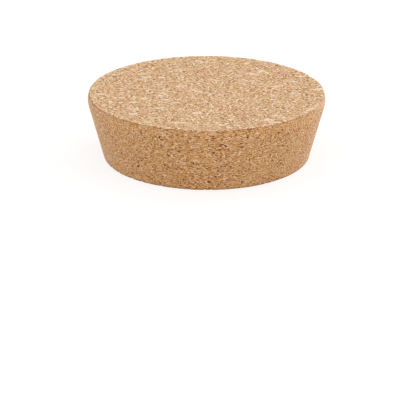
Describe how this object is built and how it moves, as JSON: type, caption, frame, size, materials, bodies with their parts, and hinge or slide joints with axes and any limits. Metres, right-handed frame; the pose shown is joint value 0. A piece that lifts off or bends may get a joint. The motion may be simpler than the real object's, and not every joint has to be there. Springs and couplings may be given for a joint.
{
  "type": "cork stopper",
  "caption": "Round tapered stopper of pressed cork with flat faces, pushed narrow face first into the mouth of a wide jar.",
  "frame": {"origin": "centre of the narrow face, on which it stands", "axes": "+Z along the axis of the taper, from the narrow face up to the wide face; +X and +Y lie across it, with +Y away from the viewer of the picture"},
  "size_m": [0.08, 0.08, 0.022],
  "materials": {
    "cork": "pressed cork granules, cut and sanded matte"
  },
  "bodies": {
    "root": {"stopper": "cork"}
  },
  "joints": []
}
